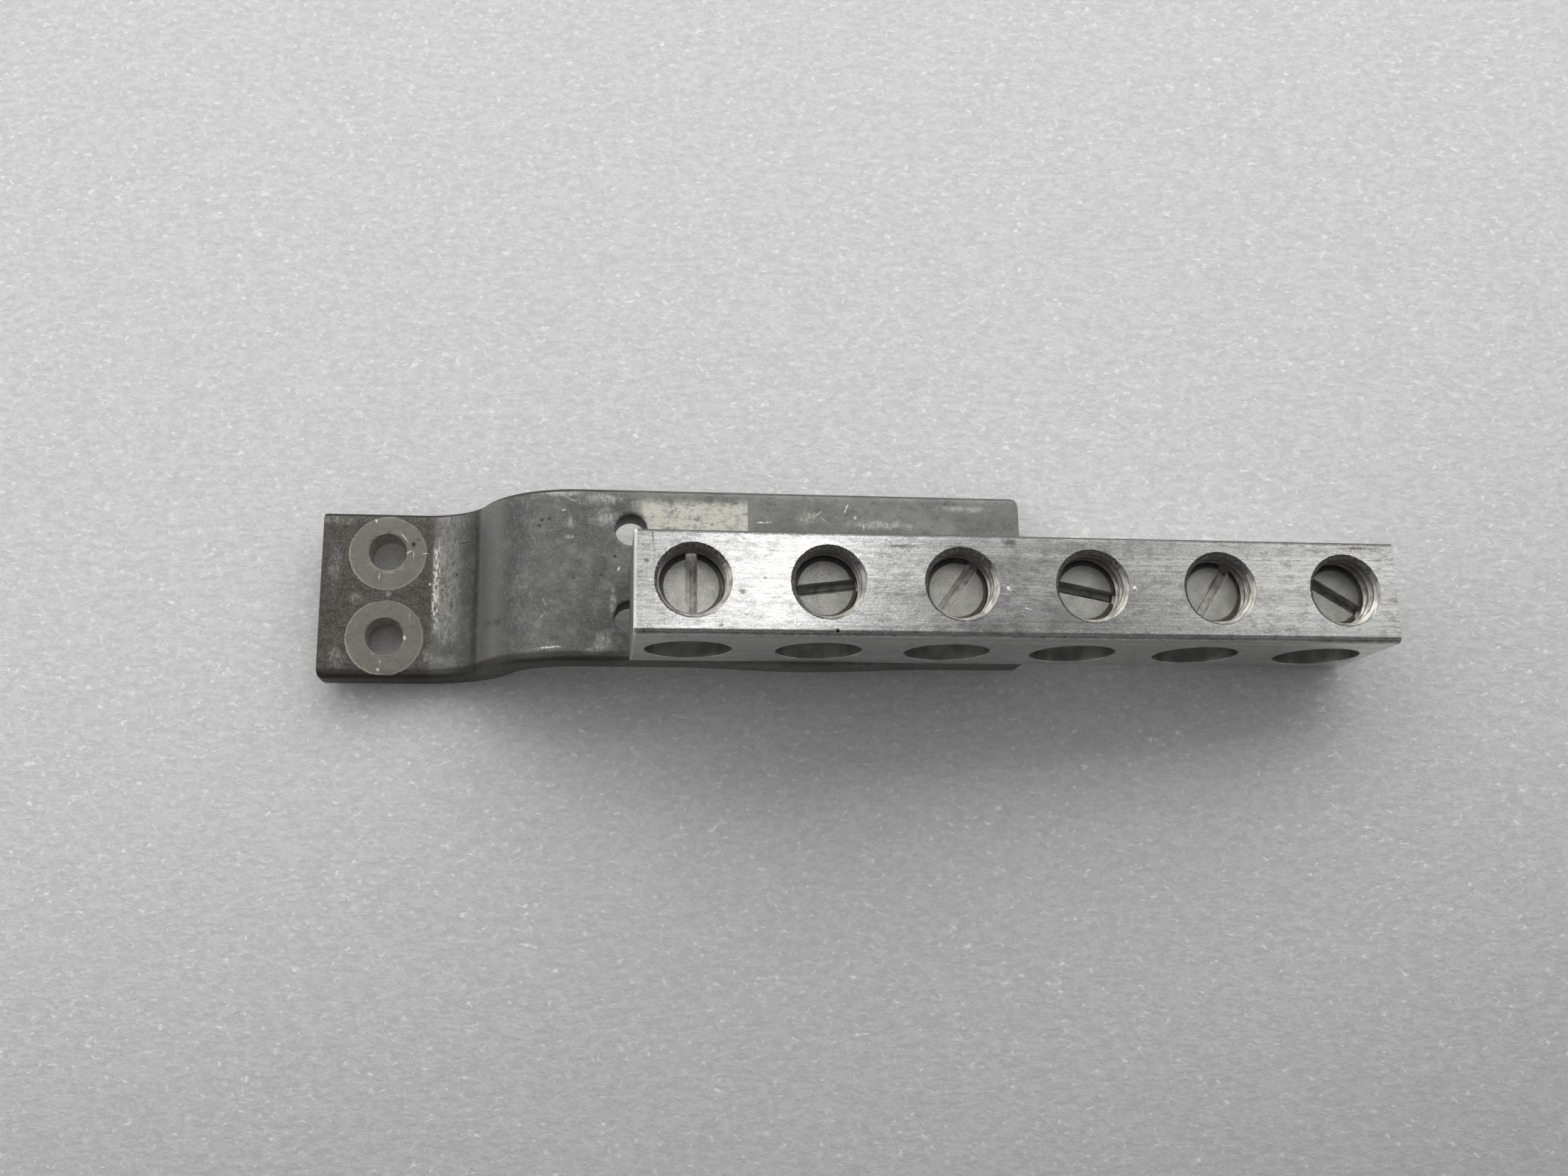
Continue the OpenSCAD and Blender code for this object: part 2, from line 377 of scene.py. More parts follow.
def extruded_skin():
    """The bar's long faces: short die lines and grain over long bands, with pits, specks and smears."""
    s = Shader("bar_skin")
    x, y, z = s.split(s.mm)
    grain = s.noise((0.55, 0.24, 0.24), detail=3.0, rough=0.65)
    dashes = s.noise((1.5, 0.20, 0.20), detail=3.0, rough=0.6, shift=(3, 9, 5))
    lines = s.noise((28, 0.30, 0.30), detail=3.0, shift=(3, 9, 5))
    bands = s.noise((60, 1.6, 1.6), detail=2.0, shift=(11, 2, 7))
    patches = s.noise((14, 5, 5), detail=4.0, rough=0.6, shift=(40, 0, 0))
    grime = s.noise((3.2, 0.30, 0.30), detail=4.0, rough=0.7, shift=(7, 31, 3))
    where = s.noise((12, 6, 6), detail=2.0, shift=(9, 9, 9))
    specks = s.noise((0.36, 0.24, 0.24), detail=2.0, shift=(70, 4, 1))
    flecks = s.noise((0.42, 0.24, 0.24), detail=2.0, shift=(17, 40, 12))
    stain = s.noise((2.4, 1.3, 1.3), detail=5.0, rough=0.7, shift=(6, 12, 20))
    ragged = s.centred(s.noise((0.5, 0.4, 0.4), detail=4.0), 1.4)

    colour = s.blend(s.step(bands, 0.36, 0.64), (0.68, 0.685, 0.67), (0.84, 0.84, 0.82))
    colour = s.blend(s.step(lines, 0.50, 0.66, 0.0, 0.45), colour, (0.42, 0.42, 0.405))
    colour = s.blend(s.step(dashes, 0.50, 0.70, 0.0, 0.55), colour, (0.34, 0.34, 0.325))
    colour = s.blend(s.step(grain, 0.50, 0.72, 0.0, 0.45), colour, (0.36, 0.36, 0.345))
    colour = s.blend(s.step(stain, 0.48, 0.64, 0.0, 0.65), colour, (0.38, 0.38, 0.365))
    colour = s.blend(s.step(flecks, 0.60, 0.70, 0.0, 0.85), colour, (0.97, 0.97, 0.95))
    thick = s.math("ADD", s.centred(where, 0.35), grime)
    worn = s.math("ADD", thick, s.step(x, 150, 175, 0.0, 0.05))
    colour = s.blend(s.step(worn, 0.60, 0.72, 0.0, 0.75), colour, (0.20, 0.195, 0.18))
    colour = s.blend(s.step(specks, 0.66, 0.74, 0.0, 0.8), colour, (0.09, 0.085, 0.08))

    smears = s.marks([(106.8, 0.4, 1.6, 1.0, 0, 0.9), (62.0, -8.6, 1.1, 0.6, 0, 0.9),
                      (88.4, -0.5, 3.0, 0.4, 0, 0.9), (47.4, 0.2, 1.5, 0.14, 96, 0.6),
                      (46.4, -3.7, 0.7, 0.5, 0, 0.9), (100.5, -12.6, 1.6, 0.7, 10, 0.9),
                      (168.0, 0.6, 5.0, 0.4, 0, 0.9), (58.5, -14.3, 0.5, 0.4, 0, 0.7),
                      (65.6, -6.3, 0.45, 0.3, 0, 0.6)], ragged)
    colour = s.blend(s.times(smears, 0.75), colour, (0.13, 0.11, 0.085))
    pit = s.marks([(77.4, -15.0, 0.45, 0.40, 0, 0.6)], s.times(ragged, 0.5))
    colour = s.blend(pit, colour, (0.03, 0.028, 0.025))
    dings = s.marks([(127.9, -7.1, 0.35, 0.45, 0, 0.6), (106.2, -7.6, 0.3, 0.5, 20, 0.6),
                     (121.6, -3.4, 0.15, 0.6, 70, 0.6), (109.4, -10.9, 0.12, 0.7, 75, 0.6),
                     (62.6, -12.2, 0.35, 0.3, 0, 0.5)])
    colour = s.blend(dings, colour, (0.97, 0.97, 0.96))

    # Painted shade on the lower half of the front edge's rounding, the dark back edge and the bright burr
    # at the left end.
    front = s.times(s.step(y, -15.45, -15.2, 1.0, 0.0), s.step(z, 48.5, 48.8),
                    s.step(s.shifted(grain, where, 0.5), 0.60, 0.80, 0.9, 0.35))
    colour = s.blend(front, colour, (0.14, 0.14, 0.132))
    back = s.times(s.step(s.shifted(y, ragged, 0.3), 0.9, 1.3, 0.0, 0.9), s.step(z, 48.5, 48.9))
    colour = s.blend(back, colour, (0.12, 0.12, 0.113))
    left_end = s.step(s.shifted(x, ragged, 0.25), 44.75, 44.95, 0.8, 0.0)
    colour = s.blend(left_end, colour, (0.97, 0.97, 0.95))

    roughness = s.math("ADD", s.step(patches, 0.3, 0.7, 0.19, 0.27), s.times(back, 0.35))
    normal = s.bump(s.math("SUBTRACT", flecks, specks), 0.006)
    normal = s.bump(dashes, 0.003, normal)
    normal = s.bump(lines, 0.006, normal)
    normal = s.bump(s.math("SUBTRACT", dings, pit), 0.05, normal)
    return s.finish(colour, roughness, normal)


def sawn_end():
    """The bar's cut ends: fine saw lines down the face."""
    s = Shader("bar_sawn_end")
    saw = s.noise((1, 0.22, 9), detail=3.0, distortion=0.3)
    streaks = s.noise((1, 0.35, 14), detail=4.0, rough=0.7, shift=(2, 6, 4), distortion=0.4)
    stain = s.noise((4, 4, 7), detail=5.0, rough=0.6)
    colour = s.blend(s.step(stain, 0.3, 0.75), (0.50, 0.50, 0.485), (0.39, 0.39, 0.375))
    colour = s.blend(s.step(streaks, 0.50, 0.68, 0.0, 0.6), colour, (0.27, 0.27, 0.255))
    return s.finish(colour, s.step(streaks, 0.3, 0.7, 0.36, 0.52), s.bump(saw, 0.05))


def drilled_bore():
    """The wire holes' walls: tool rings round each hole's axis."""
    s = Shader("bar_bore")
    rings = s.noise((6, 0.45, 6), detail=2.0)
    stain = s.noise((2.5, 4, 2.5), detail=3.0)
    colour = s.blend(s.step(stain, 0.35, 0.7), (0.60, 0.60, 0.59), (0.38, 0.38, 0.37))
    return s.finish(colour, 0.38, s.bump(rings, 0.012))


def cut_thread():
    """The tapped walls: slightly warm metal with torn flanks and dark oil, with painted shade toward the
    back.
    """
    s = Shader("bar_thread")
    tear = s.noise((4.0, 4.0, 0.15), detail=4.0, rough=0.6)
    stain = s.noise((1.8, 1.8, 0.8), detail=3.0, shift=(5, 5, 5))
    colour = s.blend(s.step(stain, 0.40, 0.68, 0.0, 0.8), (0.64, 0.62, 0.56), (0.24, 0.23, 0.205))
    colour = s.blend(s.step(tear, 0.46, 0.62, 0.0, 0.7), colour, (0.20, 0.195, 0.175))
    y = s.split(s.mm)["Y"]
    # Painted shade: the back walls of the tapped holes, which face the front, are darkened.
    colour = s.blend(s.step(y, -6.0, -2.0, 0.0, 0.75), colour, (0.13, 0.127, 0.115))
    return s.finish(colour, s.step(tear, 0.3, 0.7, 0.35, 0.5), s.bump(tear, 0.035), 0.8)


def hole_rim():
    """The small chamfers of the tapped holes: torn and dark."""
    s = Shader("bar_rim")
    torn = s.noise((0.4, 0.4, 0.4), detail=4.0, rough=0.65)
    colour = s.blend(s.step(torn, 0.40, 0.70), (0.08, 0.078, 0.072), (0.26, 0.255, 0.235))
    return s.finish(colour, 0.5, s.bump(torn, 0.03), 0.6)


def screw_finish(name, level):
    """The screws' faces: dull plated metal, finely speckled, paler where level is higher."""
    s = Shader(name)
    grain = s.noise((0.22, 0.22, 0.22), detail=2.0, rough=0.6)
    pores = s.noise((0.3, 0.3, 0.3), detail=2.0, shift=(9, 2, 6))
    cloud = s.noise((2.5, 2.5, 2.5), detail=4.0)
    colour = s.blend(s.step(cloud, 0.35, 0.65), (0.80 * level, 0.80 * level, 0.74 * level),
                     (level, 0.99 * level, 0.92 * level))
    colour = s.blend(s.step(grain, 0.50, 0.70, 0.0, 0.5), colour, (0.24, 0.235, 0.215))
    colour = s.blend(s.step(pores, 0.70, 0.76, 0.0, 0.9), colour, (0.05, 0.048, 0.045))
    normal = s.bump(s.math("ADD", grain, pores), 0.02)
    return s.finish(colour, s.step(grain, 0.3, 0.7, 0.45, 0.6), normal)


def screw_dark_finish():
    """The chamfer and thread of a set screw, in dark metal."""
    s = Shader("screw_dark")
    grain = s.noise((0.6, 0.6, 0.3), detail=3.0, rough=0.6)
    colour = s.blend(s.step(grain, 0.35, 0.7), (0.15, 0.15, 0.14), (0.34, 0.335, 0.31))
    return s.finish(colour, s.step(grain, 0.3, 0.7, 0.35, 0.55), s.bump(grain, 0.02), 0.25)


def slot_cut(name, low, high):
    """The walls and floor of a screw's slot, milled, of a colour between low and high."""
    s = Shader(name)
    mill = s.noise((0.25, 0.25, 0.12), detail=3.0, rough=0.6)
    stain = s.noise((1.4, 1.4, 1.4), detail=3.0, shift=(3, 1, 5))
    colour = s.blend(s.step(stain, 0.35, 0.65), high, low)
    return s.finish(colour, s.step(mill, 0.3, 0.7, 0.4, 0.55), s.bump(mill, 0.02), 0.2)


# ---------------------------------------------------------------- the strap's material

class StrapFinish(Shader):
    """The strap: dull plating, mottled, browner on the foot, with the washers' rubbed rings."""

    def __init__(self):
        super().__init__("strap_plating")
        self.x, self.y, self.z = self.split(self.mm)
        self.cloud = self.noise((9, 6, 9), detail=5.0, rough=0.6)
        self.mottle = self.noise((1.1, 0.9, 1.1), detail=5.0, rough=0.75, shift=(3, 8, 2))
        self.grain = self.noise((0.32, 0.28, 0.32), detail=3.0, rough=0.65, shift=(5, 1, 7))
        self.pores = self.noise((0.30, 0.27, 0.30), detail=2.0, shift=(30, 12, 8))
        self.torn = self.noise((0.55, 1.2, 0.55), detail=5.0, rough=0.72, shift=(2, 2, 2))
        self.blotch = self.noise((3.2, 2.2, 3.2), detail=6.0, rough=0.72, shift=(60, 20, 10))
        self.drawn = self.noise((0.16, 1.8, 0.4), detail=3.0, rough=0.6, shift=(8, 3, 1))
        self.ragged = self.centred(self.noise((1.2, 1.0, 1.2), detail=6.0, rough=0.75), 2.2)
        chips = self.noise((0.3, 0.3, 0.3), detail=3.0, shift=(1, 6, 2))
        self.chipped = self.step(chips, 0.40, 0.52)
        self.outer_bend = self.times(self.between(self.x, (20.0, 22.0), (26.5, 29.5)),
                                     self.step(self.y, -12.0, -7.0))
        self.foot_face = self.step(self.z, 6.0, 6.2)

    def plating(self):
        """The colour all over, paler on the plate, with painted light where the strap rises from the foot.
        """
        plate = self.blend(self.step(self.cloud, 0.35, 0.65), (0.19, 0.19, 0.175), (0.27, 0.27, 0.25))
        colour = self.blend(self.step(self.cloud, 0.3, 0.7), (0.122, 0.123, 0.113), (0.165, 0.166, 0.155))
        colour = self.blend(self.step(self.x, 44, 60, 0.0, 0.8), colour, plate)
        colour = self.blend(self.step(self.blotch, 0.50, 0.64, 0.0, 0.45), colour, (0.30, 0.30, 0.28))
        colour = self.blend(self.step(self.blotch, 0.34, 0.48, 0.55, 0.0), colour, (0.085, 0.084, 0.078))
        # rise: painted light on the slope where the strap rises from the foot, standing in for light from
        # the left
        rise = self.between(self.x, (17.0, 17.6), (20.0, 23.5))
        colour = self.blend(self.times(rise, 0.8), colour, (0.33, 0.328, 0.31))
        colour = self.blend(self.step(self.mottle, 0.50, 0.68, 0.0, 0.6), colour, (0.235, 0.235, 0.218))
        colour = self.blend(self.step(self.grain, 0.50, 0.72, 0.0, 0.6), colour, (0.30, 0.30, 0.28))
        return self.blend(self.step(self.pores, 0.60, 0.74, 0.0, 0.6), colour, (0.065, 0.064, 0.060))

    def foot(self, colour):
        """The brown of the foot, with scuffs."""
        umber = self.step(self.mottle, 0.35, 0.65)
        umber = self.blend(umber, (0.066, 0.059, 0.053), (0.128, 0.118, 0.105))
        umber = self.blend(self.step(self.grain, 0.52, 0.70, 0.0, 0.8), umber, (0.24, 0.235, 0.215))
        reach = self.step(self.shifted(self.x, self.ragged, 1.2), 7.6, 9.6, 1.0, 0.0)
        colour = self.blend(reach, colour, umber)
        scuffs = self.marks([(-9.5, 14.0, 4.5, 1.2, 0, 0.9), (-9.5, 5.0, 1.6, 5.0, 0, 0.9),
                             (-8.6, -12.0, 2.0, 3.0, 20, 0.9), (12.0, 13.8, 4.5, 3.0, 0, 0.9),
                             (8.2, -11.5, 2.0, 2.5, 0, 0.9), (-5.5, -1.0, 1.5, 1.5, 0, 0.9),
                             (0.4, 0.0, 0.7, 0.7, 0, 0.5)], self.ragged)
        fine = self.step(self.torn, 0.42, 0.60, 0.1, 0.75)
        return self.blend(self.times(scuffs, fine), colour, (0.33, 0.325, 0.30))

    def lower_bend(self, colour):
        """The lower bend's hollow: a rubbed strip with a bright rim and pits, painted shade along a crease,
        and a crack.
        """
        across = self.shifted(self.y, self.ragged)
        rub = self.times(self.between(self.x, (8.4, 9.0), (12.4, 14.6)), self.step(across, -11.5, -7.5),
                         self.step(across, 8.5, 13.5, 1.0, 0.35))
        scraped = self.times(rub, self.step(self.torn, 0.40, 0.60, 0.05, 0.85))
        colour = self.blend(scraped, colour, (0.31, 0.305, 0.28))
        rim = self.times(self.between(self.x, (8.1, 8.7), (9.0, 10.0)),
                         self.between(self.y, (-8, -4), (7, 11)), self.step(self.torn, 0.46, 0.56))
        colour = self.blend(rim, colour, (0.66, 0.65, 0.60))
        pits = self.noise((0.5, 0.7, 0.5), detail=3.0, rough=0.6, shift=(12, 5, 9))
        pits = self.times(self.step(pits, 0.62, 0.70, 0.0, 0.85), rub)
        colour = self.blend(pits, colour, (0.035, 0.032, 0.028))
        # crease: painted shade, a narrow dark line where the hollow turns up into the slope
        crease = self.times(self.between(self.x, (15.6, 16.5), (16.7, 17.1)),
                            self.step(self.y, -13.5, -11.5), self.step(self.z, 6.2, 6.4), 0.35)
        colour = self.blend(crease, colour, (0.045, 0.042, 0.038))
        crack = self.marks([(14.0, 9.4, 2.2, 0.16, 0, 0.8), (12.3, 9.9, 0.8, 0.12, 60, 0.8)],
                           self.times(self.ragged, 0.4))
        return self.blend(self.times(crack, 0.8), colour, (0.03, 0.028, 0.025))

    def upper_bend_and_plate(self, colour):
        """The drawn lines of the upper bend, the pale patches, the bare lap and the darkened rolled edges,
        the front one as painted shade.
        """
        lines = self.times(self.outer_bend, self.step(self.drawn, 0.58, 0.68, 0.0, 0.65))
        colour = self.blend(lines, colour, (0.38, 0.38, 0.36))
        pale = self.marks([(39.5, 13.5, 5.0, 1.6, 0, 0.9), (40.0, 10.2, 2.6, 2.4, 0, 0.9),
                           (47.5, 12.4, 3.5, 1.8, 0, 0.8), (39.5, -12.6, 3.0, 1.9, 55, 0.9),
                           (38.2, -14.2, 3.0, 0.8, 0, 0.9), (32.5, 14.4, 3.5, 0.6, 0, 0.9),
                           (105.0, 13.2, 9.0, 0.8, 0, 0.9), (76.0, 11.0, 2.5, 1.6, 20, 0.9),
                           (90.0, 9.8, 9.0, 1.2, 0, 0.9), (41.5, -5.5, 0.9, 4.0, 0, 0.9),
                           (33.8, 9.2, 1.0, 1.6, 0, 0.9), (33.6, 6.5, 1.2, 0.5, 0, 0.9)], self.ragged)
        pale = self.times(pale, self.step(self.torn, 0.36, 0.58, 0.15, 0.95))
        colour = self.blend(pale, colour, (0.45, 0.45, 0.41))
        lap = self.times(self.between(self.x, (45.0, 47.5), (65.2, 65.5)),
                         self.step(self.shifted(self.y, self.ragged), 12.2, 14.2, 1.0, 0.0),
                         self.step(self.y, 5, 6), self.step(self.z, 25.2, 25.6),
                         self.step(self.mottle, 0.36, 0.56, 0.4, 1.0),
                         self.step(self.blotch, 0.36, 0.46, 0.3, 1.0))
        colour = self.blend(lap, colour, (0.60, 0.60, 0.53))
        # front: painted shade along the strap's front edge, strongest on the foot and the bends; the back
        # edge is darkened as well
        front = self.step(self.shifted(self.y, self.ragged, 0.3), -14.4, -13.6, 1.0, 0.0)
        rolled = self.times(self.math("ADD", front, self.step(self.y, 14.7, 15.1)),
                            self.step(self.x, 38, 46, 0.75, 0.3))
        return self.blend(rolled, colour, (0.045, 0.043, 0.040))

    def nicks(self):
        """Bright nicks with chipped outlines."""
        nicks = self.marks([(29.6, -5.4, 1.3, 0.13, -65, 0.7), (29.4, -7.4, 1.2, 0.12, 48, 0.7),
                            (83.3, 12.6, 1.3, 0.22, 67, 0.6), (68.4, 9.8, 1.6, 0.25, 3, 0.5),
                            (78.2, 11.6, 1.1, 0.15, 40, 0.7), (79.0, 10.6, 1.0, 0.13, -35, 0.7),
                            (76.8, 10.0, 0.9, 0.12, 15, 0.7), (42.4, 0.7, 0.25, 0.6, -20, 0.6),
                            (84.9, 11.0, 0.5, 0.4, 0, 0.6), (32.6, 11.4, 0.5, 0.2, 20, 0.7),
                            (30.5, -13.4, 3.2, 0.35, 2, 0.95), (86.5, 9.4, 0.2, 0.8, 0, 0.7),
                            (34.0, 13.3, 2.6, 0.1, -25, 0.8), (30.5, 14.6, 3.0, 0.18, 0, 0.9)])
        return self.times(nicks, self.chipped)

    def dark_spots(self, colour):
        """Small dark spots and wider, softer smudges."""
        spots = self.marks([(28.8, 9.8, 0.5, 0.35, 20, 0.6), (30.1, 9.9, 0.4, 0.35, 0, 0.6),
                            (28.3, 8.8, 0.6, 0.3, -30, 0.6), (41.7, 3.0, 0.5, 0.4, 0, 0.6),
                            (39.3, -0.4, 0.4, 0.3, 0, 0.6), (12.9, 3.5, 0.3, 0.5, 0, 0.6),
                            (10.2, 0.8, 0.3, 0.3, 0, 0.6), (34.5, -1.0, 0.3, 0.25, 0, 0.6)])
        colour = self.blend(self.times(spots, 0.8), colour, (0.035, 0.033, 0.03))
        smudges = self.marks([(21.2, -7.8, 1.6, 1.2, 0, 0.95), (19.3, -7.5, 1.0, 1.0, 0, 0.95),
                              (40.0, 1.5, 3.0, 3.0, 0, 0.95), (42.5, 12.3, 2.2, 1.6, 30, 0.9),
                              (51.5, 13.2, 0.9, 1.2, 10, 0.9), (9.5, -9.5, 1.5, 3.0, 0, 0.9),
                              (11.5, -10.5, 2.5, 2.0, 0, 0.9)], self.times(self.ragged, 0.5))
        return self.blend(self.times(smudges, 0.45), colour, (0.06, 0.058, 0.052))

    def from_holes(self):
        """The distance from the middle of each foot hole's marks, in millimetres, seen from above."""
        distances = []
        for x, y in FOOT_HOLES:
            away = self.vector("SUBTRACT", self.mm, (x / MM, y / MM - MARK_SHIFT, 0))
            distances.append(self.length(self.vector("MULTIPLY", away, (1, 1, 0))))
        return distances

    def washer_rings(self, distances):
        """1 where the washers rubbed the foot's face, and 1 on the lips that their edges left."""
        radius = WASHER_R / MM
        wobble = self.centred(self.noise((1.6, 1.6, 1.6), detail=3.0, shift=(4, 4, 4)), 0.5)
        rings = []
        lips = []
        for distance in distances:
            far = self.math("ADD", distance, wobble)
            rings.append(self.step(far, radius - 0.07, radius + 0.07, 1.0, 0.0))
            lips.append(self.times(rings[-1], self.step(far, radius - 0.40, radius - 0.12)))
        return [self.times(self.any_of(masks), self.foot_face) for masks in (rings, lips)]

    def bolted(self, colour, rings, lips):
        """The rubbed rings with their bright lips and chips; the lips carry a painted highlight toward the
        front left.
        """
        rubbed = self.step(self.mottle, 0.38, 0.62)
        rubbed = self.blend(rubbed, (0.185, 0.177, 0.152), (0.235, 0.225, 0.196))
        rubbed = self.blend(self.step(self.grain, 0.52, 0.70, 0.0, 0.5), rubbed, (0.33, 0.32, 0.29))
        rubbed = self.blend(self.step(self.cloud, 0.5, 0.62, 0.0, 0.4), rubbed, (0.20, 0.175, 0.15))
        colour = self.blend(rings, colour, rubbed)
        # Painted highlight: the lips are made brighter toward the front left, where they catch the light.
        highlit_side = self.step(self.shifted(self.x, self.y, 0.2), -6.5, -1.0, 0.7, 0.25)
        colour = self.blend(self.times(lips, highlit_side, self.chipped), colour, (0.52, 0.50, 0.44))
        bright = self.marks([(2.9, 10.9, 1.5, 0.16, -50, 0.7), (3.7, 8.0, 0.9, 0.22, 35, 0.7),
                             (4.7, 7.6, 0.12, 1.0, 0, 0.7), (6.8, 7.9, 0.8, 0.1, 8, 0.7),
                             (-1.4, 3.3, 0.12, 0.8, -8, 0.6), (-2.4, 14.1, 0.25, 0.45, 20, 0.5),
                             (3.6, -8.2, 0.45, 0.7, 20, 0.8), (3.0, -7.4, 0.6, 0.15, 0, 0.7),
                             (-0.6, -12.6, 0.1, 0.5, 5, 0.6), (-0.9, -14.2, 0.35, 0.5, 20, 0.8),
                             (4.4, -4.2, 0.08, 0.9, 0, 0.8), (7.9, 2.0, 0.3, 0.3, 0, 0.6)])
        colour = self.blend(self.times(bright, self.chipped), colour, (0.85, 0.84, 0.80))
        dark = self.marks([(4.6, 9.6, 0.55, 0.7, 0, 0.8), (5.2, -6.1, 0.12, 0.12, 0, 0.5),
                           (5.4, 10.6, 0.15, 0.5, -30, 0.8)], self.times(self.ragged, 0.4))
        return self.blend(dark, colour, (0.03, 0.028, 0.025))

    def hole_walls(self, colour, distances):
        """Paler inside the foot's holes: bare metal, lightened further as painted light."""
        radius = FOOT_HOLE_R / MM
        bores = self.any_of([self.step(distance, radius + 0.25, radius + 0.35, 1.0, 0.0)
                             for distance in distances])
        walls = self.times(bores, self.step(self.z, 6.0, 6.2, 1.0, 0.0))
        # Bare metal of the bores, partly real and partly painted light: it is paler to stand in for light
        # reaching into the holes.
        bare = self.blend(self.step(self.mottle, 0.35, 0.65), (0.36, 0.34, 0.31), (0.60, 0.58, 0.54))
        return self.blend(walls, colour, bare)

    def build(self):
        colour = self.foot(self.plating())
        colour = self.upper_bend_and_plate(self.lower_bend(colour))
        nicks = self.nicks()
        colour = self.dark_spots(self.blend(nicks, colour, (0.80, 0.80, 0.76)))
        distances = self.from_holes()
        rings, lips = self.washer_rings(distances)
        colour = self.hole_walls(self.bolted(colour, rings, lips), distances)
        normal = self.bump(self.mottle, 0.025)
        normal = self.bump(self.math("SUBTRACT", self.grain, self.pores), 0.016, normal)
        normal = self.bump(self.math("SUBTRACT", nicks, rings), 0.05, normal)
        normal = self.bump(self.times(self.outer_bend, self.drawn), 0.03, normal)
        return self.finish(colour, self.step(self.mottle, 0.3, 0.7, 0.46, 0.60), normal, 0.85)


# ---------------------------------------------------------------- the strap

def strap_path():
    """Stations along the strap: x and z of its underside, its lean and the distance to its nearer end."""
    pitch = 0.8 * MM
    corner_steps = 6
    bend_steps = 30
    far_from_ends = 1.0
    quarter = math.pi / 2
    ends = [STRAP_CORNER_R * (1 - math.cos(quarter * i / corner_steps)) for i in range(corner_steps + 1)]
    stations = [(STRAP_LOW.x + d, 0.0, 0.0, d) for d in ends]
    run = FOOT_FLAT - STRAP_LOW.x - STRAP_CORNER_R
    for i in range(1, int(run / pitch)):
        d = STRAP_CORNER_R + run * i / int(run / pitch)
        stations.append((STRAP_LOW.x + d, 0.0, 0.0, d))
    for i in range(bend_steps + 1):
        a = BEND_ANGLE * i / bend_steps
        x = FOOT_FLAT + BEND_OUTER * math.sin(a)
        stations.append((x, BEND_OUTER * (1 - math.cos(a)), a, far_from_ends))
    for i in range(bend_steps + 1):
        a = BEND_ANGLE * (1 - i / bend_steps)
        x = PLATE_X - BEND_INNER * math.sin(a)
        stations.append((x, PLATE_Z - BEND_INNER * (1 - math.cos(a)), a, far_from_ends))
    run = STRAP_HIGH.x - STRAP_CORNER_R - PLATE_X
    for i in range(1, int(run / pitch)):
        stations.append((PLATE_X + run * i / int(run / pitch), PLATE_Z, 0.0, far_from_ends))
    stations += [(STRAP_HIGH.x - d, PLATE_Z, 0.0, d) for d in reversed(ends)]
    return stations


def corner_inset(end, radius):
    """How far a corner of that radius is drawn in at a distance end from the strap's end."""
    d = min(end, radius)
    return radius - math.sqrt(max(0.0, 2 * radius * d - d * d))


def strap_section(front_inset, back_inset, swell):
    """The cross-section as (across, up) points, drawn in at its front and back, and pushed out at its
    front by swell."""
    r = STRAP_EDGE_R
    arc_steps = 6
    side_parts, face_parts = 5, 38
    front = STRAP_FRONT - swell + front_inset + r
    back = STRAP_HIGH.y - back_inset - r
    centres = [(back, r), (back, STRAP_T - r), (front, STRAP_T - r), (front, r)]
    parts = [side_parts, face_parts, side_parts, face_parts]
    points = []
    for quarter, (across, up) in enumerate(centres):
        for i in range(arc_steps + 1):
            a = math.pi / 2 * (quarter - 1 + i / arc_steps)
            points.append(Vector((across + r * math.cos(a), up + r * math.sin(a))))
        a = math.pi / 2 * quarter
        here = points[-1]
        there = Vector(centres[(quarter + 1) % 4]) + r * Vector((math.cos(a), math.sin(a)))
        points += [here.lerp(there, i / parts[quarter]) for i in range(1, parts[quarter])]
    return points


def strap_hole(radius, x, y, base):
    """A cutter for a hole through the strap with a rounded rim at each face."""
    rim = STRAP_HOLE_RIM
    lower = [(radius + 3 * rim, -2 * rim), (radius + rim, 0.0),
             (radius + 0.3 * rim, 0.4 * rim), (radius, rim)]
    upper = [(r, STRAP_T - height) for r, height in reversed(lower)]
    return lathe("hole", lower + upper, (x, y, base))


def build_strap(finish):
    """The strap as a sweep of its section, with its two foot holes, two plate holes and two screw holes."""
    stations = strap_path()
    verts = []
    for x, z, lean, end in stations:
        front_inset = corner_inset(end, STRAP_CORNER_R)
        back_inset = corner_inset(end, FOOT_BACK_R if x < PLATE_X else STRAP_CORNER_R)
        off = (x - SWELL_X) / SWELL_HALF
        swell = EDGE_SWELL * math.cos(math.pi / 2 * off) ** 2 if abs(off) < 1 else 0.0
        for across, up in strap_section(front_inset, back_inset, swell):
            verts.append((x - up * math.sin(lean), across, z + up * math.cos(lean)))
    strap = link("strap_body", verts, rings_to_faces(len(stations), len(verts) // len(stations)))
    outward(strap)
    paint(strap, finish)
    cutters = [strap_hole(FOOT_HOLE_R, x, y, 0.0) for x, y in FOOT_HOLES]
    cutters += [strap_hole(PLATE_HOLE_R, x, y, PLATE_Z) for x, y in PLATE_HOLES]
    for node in FIX_NODES:
        cutters.append(lathe("hole", [(PLATE_HOLE_R, -MM), (PLATE_HOLE_R, STRAP_T + MM)],
                             (*middle(node), PLATE_Z)))
    for cutter in cutters:
        paint(cutter, finish)
    carve(strap, cutters)
    crisp(strap)
    place(strap, BODY, "plated_steel", "offset_strap")


# ---------------------------------------------------------------- the terminal bar

